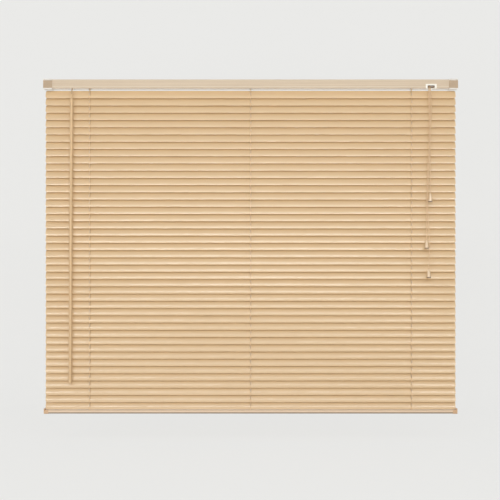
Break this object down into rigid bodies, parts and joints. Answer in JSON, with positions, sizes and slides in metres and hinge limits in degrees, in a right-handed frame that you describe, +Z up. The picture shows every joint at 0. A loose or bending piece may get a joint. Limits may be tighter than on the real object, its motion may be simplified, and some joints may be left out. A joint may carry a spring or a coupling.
{
  "type": "venetian blind",
  "caption": "Slatted window blind with a slim headrail in two box brackets, string ladders, a tilt wand, a cord lock with tasselled pull cords, and a capped bottom rail.",
  "frame": {"origin": "middle of the four top fixing holes, on the brackets' top faces", "axes": "+X along the headrail, from the tilt wand's end to the cord lock's end; +Z up; the room is towards -Y and the window towards +Y"},
  "size_m": [1.2, 0.0412, 0.9696],
  "materials": {
    "slat_plastic": "satin",
    "headrail_paint": "satin",
    "bracket_paint": "satin",
    "gate_paint": "satin",
    "mechanism_plastic": "satin",
    "lock_plastic": "satin",
    "steel": "satin",
    "wand_plastic": "gloss",
    "cord_fibre": "matte",
    "tassel_plastic": "satin",
    "foot_plastic": "satin"
  },
  "bodies": {
    "headrail": {"headrail": "headrail_paint", "mounting_brackets": "bracket_paint", "rod_carriers": "mechanism_plastic", "cord_lock": "lock_plastic", "lift_cords": "cord_fibre", "cord_tassels": "tassel_plastic", "bottom_rail": "foot_plastic", "bottom_rail_caps": "foot_plastic"},
    "tilt_wand": {"tilt_wand": "wand_plastic"},
    "tilter_worm": {"tilter_worm": "mechanism_plastic"},
    "tilt_rod": {"tilt_rod_and_drums": "steel"},
    "lock_roller": {"lock_roller": "steel"},
    "bracket_gate_left": {"bracket_gate_left": "gate_paint"},
    "bracket_gate_right": {"bracket_gate_right": "gate_paint"},
    "slat_01": {"slat_01": "slat_plastic"},
    "slat_02": {"slat_02": "slat_plastic"},
    "slat_03": {"slat_03": "slat_plastic"},
    "slat_04": {"slat_04": "slat_plastic"},
    "slat_05": {"slat_05": "slat_plastic"},
    "slat_06": {"slat_06": "slat_plastic"},
    "slat_07": {"slat_07": "slat_plastic"},
    "slat_08": {"slat_08": "slat_plastic"},
    "slat_09": {"slat_09": "slat_plastic"},
    "slat_10": {"slat_10": "slat_plastic"},
    "slat_11": {"slat_11": "slat_plastic"},
    "slat_12": {"slat_12": "slat_plastic"},
    "slat_13": {"slat_13": "slat_plastic"},
    "slat_14": {"slat_14": "slat_plastic"},
    "slat_15": {"slat_15": "slat_plastic"},
    "slat_16": {"slat_16": "slat_plastic"},
    "slat_17": {"slat_17": "slat_plastic"},
    "slat_18": {"slat_18": "slat_plastic"},
    "slat_19": {"slat_19": "slat_plastic"},
    "slat_20": {"slat_20": "slat_plastic"},
    "slat_21": {"slat_21": "slat_plastic"},
    "slat_22": {"slat_22": "slat_plastic"},
    "slat_23": {"slat_23": "slat_plastic"},
    "slat_24": {"slat_24": "slat_plastic"},
    "slat_25": {"slat_25": "slat_plastic"},
    "slat_26": {"slat_26": "slat_plastic"},
    "slat_27": {"slat_27": "slat_plastic"},
    "slat_28": {"slat_28": "slat_plastic"},
    "slat_29": {"slat_29": "slat_plastic"},
    "slat_30": {"slat_30": "slat_plastic"},
    "slat_31": {"slat_31": "slat_plastic"},
    "slat_32": {"slat_32": "slat_plastic"},
    "slat_33": {"slat_33": "slat_plastic"},
    "slat_34": {"slat_34": "slat_plastic"},
    "slat_35": {"slat_35": "slat_plastic"},
    "slat_36": {"slat_36": "slat_plastic"},
    "slat_37": {"slat_37": "slat_plastic"},
    "slat_38": {"slat_38": "slat_plastic"},
    "slat_39": {"slat_39": "slat_plastic"},
    "slat_40": {"slat_40": "slat_plastic"},
    "slat_41": {"slat_41": "slat_plastic"},
    "slat_42": {"slat_42": "slat_plastic"},
    "slat_43": {"slat_43": "slat_plastic"},
    "slat_44": {"slat_44": "slat_plastic"},
    "ladder_front": {"ladder_front_cords": "cord_fibre"},
    "ladder_rear": {"ladder_rear_cords": "cord_fibre"}
  },
  "joints": [
    {"name": "wand_spin", "type": "hinge", "parent": "headrail", "child": "tilt_wand", "pos_m": [-0.517, -0.01947, -0.04259], "axis": [-0.0052, 0, -1], "range_deg": [0, 2144]},
    {"name": "worm_spin", "type": "hinge", "parent": "headrail", "child": "tilter_worm", "pos_m": [-0.517, -0.00597, -0.0265], "axis": [0, -0.6428, -0.766], "range_deg": [0, 2144]},
    {"name": "rod_spin", "type": "hinge", "parent": "headrail", "child": "tilt_rod", "pos_m": [0, 0, -0.0085], "axis": [-1, 0, 0], "range_deg": [0, 134]},
    {"name": "roller_spin", "type": "hinge", "parent": "headrail", "child": "lock_roller", "pos_m": [0.5222, -0.0055, -0.0215], "axis": [1, 0, 0], "continuous": true},
    {"name": "gate_left_swing", "type": "hinge", "parent": "headrail", "child": "bracket_gate_left", "pos_m": [-0.587, -0.0146, -0.0017], "axis": [-1, 0, 0], "range_deg": [0, 85]},
    {"name": "gate_right_swing", "type": "hinge", "parent": "headrail", "child": "bracket_gate_right", "pos_m": [0.587, -0.0146, -0.0017], "axis": [-1, 0, 0], "range_deg": [0, 85]},
    {"name": "slat_01_tilt", "type": "hinge", "parent": "headrail", "child": "slat_01", "pos_m": [0, 0, -0.0427], "axis": [-1, 0, 0], "range_deg": [0, 134]},
    {"name": "slat_02_tilt", "type": "hinge", "parent": "headrail", "child": "slat_02", "pos_m": [0, 0, -0.0637], "axis": [-1, 0, 0], "range_deg": [0, 134]},
    {"name": "slat_03_tilt", "type": "hinge", "parent": "headrail", "child": "slat_03", "pos_m": [0, 0, -0.0847], "axis": [-1, 0, 0], "range_deg": [0, 134]},
    {"name": "slat_04_tilt", "type": "hinge", "parent": "headrail", "child": "slat_04", "pos_m": [0, 0, -0.1057], "axis": [-1, 0, 0], "range_deg": [0, 134]},
    {"name": "slat_05_tilt", "type": "hinge", "parent": "headrail", "child": "slat_05", "pos_m": [0, 0, -0.1267], "axis": [-1, 0, 0], "range_deg": [0, 134]},
    {"name": "slat_06_tilt", "type": "hinge", "parent": "headrail", "child": "slat_06", "pos_m": [0, 0, -0.1477], "axis": [-1, 0, 0], "range_deg": [0, 134]},
    {"name": "slat_07_tilt", "type": "hinge", "parent": "headrail", "child": "slat_07", "pos_m": [0, 0, -0.1687], "axis": [-1, 0, 0], "range_deg": [0, 134]},
    {"name": "slat_08_tilt", "type": "hinge", "parent": "headrail", "child": "slat_08", "pos_m": [0, 0, -0.1897], "axis": [-1, 0, 0], "range_deg": [0, 134]},
    {"name": "slat_09_tilt", "type": "hinge", "parent": "headrail", "child": "slat_09", "pos_m": [0, 0, -0.2107], "axis": [-1, 0, 0], "range_deg": [0, 134]},
    {"name": "slat_10_tilt", "type": "hinge", "parent": "headrail", "child": "slat_10", "pos_m": [0, 0, -0.2317], "axis": [-1, 0, 0], "range_deg": [0, 134]},
    {"name": "slat_11_tilt", "type": "hinge", "parent": "headrail", "child": "slat_11", "pos_m": [0, 0, -0.2527], "axis": [-1, 0, 0], "range_deg": [0, 134]},
    {"name": "slat_12_tilt", "type": "hinge", "parent": "headrail", "child": "slat_12", "pos_m": [0, 0, -0.2737], "axis": [-1, 0, 0], "range_deg": [0, 134]},
    {"name": "slat_13_tilt", "type": "hinge", "parent": "headrail", "child": "slat_13", "pos_m": [0, 0, -0.2947], "axis": [-1, 0, 0], "range_deg": [0, 134]},
    {"name": "slat_14_tilt", "type": "hinge", "parent": "headrail", "child": "slat_14", "pos_m": [0, 0, -0.3157], "axis": [-1, 0, 0], "range_deg": [0, 134]},
    {"name": "slat_15_tilt", "type": "hinge", "parent": "headrail", "child": "slat_15", "pos_m": [0, 0, -0.3367], "axis": [-1, 0, 0], "range_deg": [0, 134]},
    {"name": "slat_16_tilt", "type": "hinge", "parent": "headrail", "child": "slat_16", "pos_m": [0, 0, -0.3577], "axis": [-1, 0, 0], "range_deg": [0, 134]},
    {"name": "slat_17_tilt", "type": "hinge", "parent": "headrail", "child": "slat_17", "pos_m": [0, 0, -0.3787], "axis": [-1, 0, 0], "range_deg": [0, 134]},
    {"name": "slat_18_tilt", "type": "hinge", "parent": "headrail", "child": "slat_18", "pos_m": [0, 0, -0.3997], "axis": [-1, 0, 0], "range_deg": [0, 134]},
    {"name": "slat_19_tilt", "type": "hinge", "parent": "headrail", "child": "slat_19", "pos_m": [0, 0, -0.4207], "axis": [-1, 0, 0], "range_deg": [0, 134]},
    {"name": "slat_20_tilt", "type": "hinge", "parent": "headrail", "child": "slat_20", "pos_m": [0, 0, -0.4417], "axis": [-1, 0, 0], "range_deg": [0, 134]},
    {"name": "slat_21_tilt", "type": "hinge", "parent": "headrail", "child": "slat_21", "pos_m": [0, 0, -0.4627], "axis": [-1, 0, 0], "range_deg": [0, 134]},
    {"name": "slat_22_tilt", "type": "hinge", "parent": "headrail", "child": "slat_22", "pos_m": [0, 0, -0.4837], "axis": [-1, 0, 0], "range_deg": [0, 134]},
    {"name": "slat_23_tilt", "type": "hinge", "parent": "headrail", "child": "slat_23", "pos_m": [0, 0, -0.5047], "axis": [-1, 0, 0], "range_deg": [0, 134]},
    {"name": "slat_24_tilt", "type": "hinge", "parent": "headrail", "child": "slat_24", "pos_m": [0, 0, -0.5257], "axis": [-1, 0, 0], "range_deg": [0, 134]},
    {"name": "slat_25_tilt", "type": "hinge", "parent": "headrail", "child": "slat_25", "pos_m": [0, 0, -0.5467], "axis": [-1, 0, 0], "range_deg": [0, 134]},
    {"name": "slat_26_tilt", "type": "hinge", "parent": "headrail", "child": "slat_26", "pos_m": [0, 0, -0.5677], "axis": [-1, 0, 0], "range_deg": [0, 134]},
    {"name": "slat_27_tilt", "type": "hinge", "parent": "headrail", "child": "slat_27", "pos_m": [0, 0, -0.5887], "axis": [-1, 0, 0], "range_deg": [0, 134]},
    {"name": "slat_28_tilt", "type": "hinge", "parent": "headrail", "child": "slat_28", "pos_m": [0, 0, -0.6097], "axis": [-1, 0, 0], "range_deg": [0, 134]},
    {"name": "slat_29_tilt", "type": "hinge", "parent": "headrail", "child": "slat_29", "pos_m": [0, 0, -0.6307], "axis": [-1, 0, 0], "range_deg": [0, 134]},
    {"name": "slat_30_tilt", "type": "hinge", "parent": "headrail", "child": "slat_30", "pos_m": [0, 0, -0.6517], "axis": [-1, 0, 0], "range_deg": [0, 134]},
    {"name": "slat_31_tilt", "type": "hinge", "parent": "headrail", "child": "slat_31", "pos_m": [0, 0, -0.6727], "axis": [-1, 0, 0], "range_deg": [0, 134]},
    {"name": "slat_32_tilt", "type": "hinge", "parent": "headrail", "child": "slat_32", "pos_m": [0, 0, -0.6937], "axis": [-1, 0, 0], "range_deg": [0, 134]},
    {"name": "slat_33_tilt", "type": "hinge", "parent": "headrail", "child": "slat_33", "pos_m": [0, 0, -0.7147], "axis": [-1, 0, 0], "range_deg": [0, 134]},
    {"name": "slat_34_tilt", "type": "hinge", "parent": "headrail", "child": "slat_34", "pos_m": [0, 0, -0.7357], "axis": [-1, 0, 0], "range_deg": [0, 134]},
    {"name": "slat_35_tilt", "type": "hinge", "parent": "headrail", "child": "slat_35", "pos_m": [0, 0, -0.7567], "axis": [-1, 0, 0], "range_deg": [0, 134]},
    {"name": "slat_36_tilt", "type": "hinge", "parent": "headrail", "child": "slat_36", "pos_m": [0, 0, -0.7777], "axis": [-1, 0, 0], "range_deg": [0, 134]},
    {"name": "slat_37_tilt", "type": "hinge", "parent": "headrail", "child": "slat_37", "pos_m": [0, 0, -0.7987], "axis": [-1, 0, 0], "range_deg": [0, 134]},
    {"name": "slat_38_tilt", "type": "hinge", "parent": "headrail", "child": "slat_38", "pos_m": [0, 0, -0.8197], "axis": [-1, 0, 0], "range_deg": [0, 134]},
    {"name": "slat_39_tilt", "type": "hinge", "parent": "headrail", "child": "slat_39", "pos_m": [0, 0, -0.8407], "axis": [-1, 0, 0], "range_deg": [0, 134]},
    {"name": "slat_40_tilt", "type": "hinge", "parent": "headrail", "child": "slat_40", "pos_m": [0, 0, -0.8617], "axis": [-1, 0, 0], "range_deg": [0, 134]},
    {"name": "slat_41_tilt", "type": "hinge", "parent": "headrail", "child": "slat_41", "pos_m": [0, 0, -0.8827], "axis": [-1, 0, 0], "range_deg": [0, 134]},
    {"name": "slat_42_tilt", "type": "hinge", "parent": "headrail", "child": "slat_42", "pos_m": [0, 0, -0.9037], "axis": [-1, 0, 0], "range_deg": [0, 134]},
    {"name": "slat_43_tilt", "type": "hinge", "parent": "headrail", "child": "slat_43", "pos_m": [0, 0, -0.9247], "axis": [-1, 0, 0], "range_deg": [0, 134]},
    {"name": "slat_44_tilt", "type": "hinge", "parent": "headrail", "child": "slat_44", "pos_m": [0, 0, -0.9457], "axis": [-1, 0, 0], "range_deg": [0, 134]},
    {"name": "ladder_front_shift", "type": "hinge", "parent": "slat_01", "child": "ladder_front", "pos_m": [0, -0.00396, -0.0546], "axis": [-1, 0, 0], "range_deg": [-134, 0], "deforming": ["ladder_front_cords"]},
    {"name": "ladder_rear_shift", "type": "hinge", "parent": "slat_01", "child": "ladder_rear", "pos_m": [0, 0.0058, -0.03158], "axis": [-1, 0, 0], "range_deg": [-134, 0], "deforming": ["ladder_rear_cords"]}
  ],
  "couplings": [
    {"joint": "worm_spin", "follows": "wand_spin", "ratio": 1},
    {"joint": "rod_spin", "follows": "wand_spin", "ratio": 0.0625},
    {"joint": "slat_01_tilt", "follows": "wand_spin", "ratio": 0.0625},
    {"joint": "slat_02_tilt", "follows": "wand_spin", "ratio": 0.0625},
    {"joint": "slat_03_tilt", "follows": "wand_spin", "ratio": 0.0625},
    {"joint": "slat_04_tilt", "follows": "wand_spin", "ratio": 0.0625},
    {"joint": "slat_05_tilt", "follows": "wand_spin", "ratio": 0.0625},
    {"joint": "slat_06_tilt", "follows": "wand_spin", "ratio": 0.0625},
    {"joint": "slat_07_tilt", "follows": "wand_spin", "ratio": 0.0625},
    {"joint": "slat_08_tilt", "follows": "wand_spin", "ratio": 0.0625},
    {"joint": "slat_09_tilt", "follows": "wand_spin", "ratio": 0.0625},
    {"joint": "slat_10_tilt", "follows": "wand_spin", "ratio": 0.0625},
    {"joint": "slat_11_tilt", "follows": "wand_spin", "ratio": 0.0625},
    {"joint": "slat_12_tilt", "follows": "wand_spin", "ratio": 0.0625},
    {"joint": "slat_13_tilt", "follows": "wand_spin", "ratio": 0.0625},
    {"joint": "slat_14_tilt", "follows": "wand_spin", "ratio": 0.0625},
    {"joint": "slat_15_tilt", "follows": "wand_spin", "ratio": 0.0625},
    {"joint": "slat_16_tilt", "follows": "wand_spin", "ratio": 0.0625},
    {"joint": "slat_17_tilt", "follows": "wand_spin", "ratio": 0.0625},
    {"joint": "slat_18_tilt", "follows": "wand_spin", "ratio": 0.0625},
    {"joint": "slat_19_tilt", "follows": "wand_spin", "ratio": 0.0625},
    {"joint": "slat_20_tilt", "follows": "wand_spin", "ratio": 0.0625},
    {"joint": "slat_21_tilt", "follows": "wand_spin", "ratio": 0.0625},
    {"joint": "slat_22_tilt", "follows": "wand_spin", "ratio": 0.0625},
    {"joint": "slat_23_tilt", "follows": "wand_spin", "ratio": 0.0625},
    {"joint": "slat_24_tilt", "follows": "wand_spin", "ratio": 0.0625},
    {"joint": "slat_25_tilt", "follows": "wand_spin", "ratio": 0.0625},
    {"joint": "slat_26_tilt", "follows": "wand_spin", "ratio": 0.0625},
    {"joint": "slat_27_tilt", "follows": "wand_spin", "ratio": 0.0625},
    {"joint": "slat_28_tilt", "follows": "wand_spin", "ratio": 0.0625},
    {"joint": "slat_29_tilt", "follows": "wand_spin", "ratio": 0.0625},
    {"joint": "slat_30_tilt", "follows": "wand_spin", "ratio": 0.0625},
    {"joint": "slat_31_tilt", "follows": "wand_spin", "ratio": 0.0625},
    {"joint": "slat_32_tilt", "follows": "wand_spin", "ratio": 0.0625},
    {"joint": "slat_33_tilt", "follows": "wand_spin", "ratio": 0.0625},
    {"joint": "slat_34_tilt", "follows": "wand_spin", "ratio": 0.0625},
    {"joint": "slat_35_tilt", "follows": "wand_spin", "ratio": 0.0625},
    {"joint": "slat_36_tilt", "follows": "wand_spin", "ratio": 0.0625},
    {"joint": "slat_37_tilt", "follows": "wand_spin", "ratio": 0.0625},
    {"joint": "slat_38_tilt", "follows": "wand_spin", "ratio": 0.0625},
    {"joint": "slat_39_tilt", "follows": "wand_spin", "ratio": 0.0625},
    {"joint": "slat_40_tilt", "follows": "wand_spin", "ratio": 0.0625},
    {"joint": "slat_41_tilt", "follows": "wand_spin", "ratio": 0.0625},
    {"joint": "slat_42_tilt", "follows": "wand_spin", "ratio": 0.0625},
    {"joint": "slat_43_tilt", "follows": "wand_spin", "ratio": 0.0625},
    {"joint": "slat_44_tilt", "follows": "wand_spin", "ratio": 0.0625},
    {"joint": "ladder_front_shift", "follows": "wand_spin", "ratio": -0.0625},
    {"joint": "ladder_rear_shift", "follows": "wand_spin", "ratio": -0.0625}
  ]
}
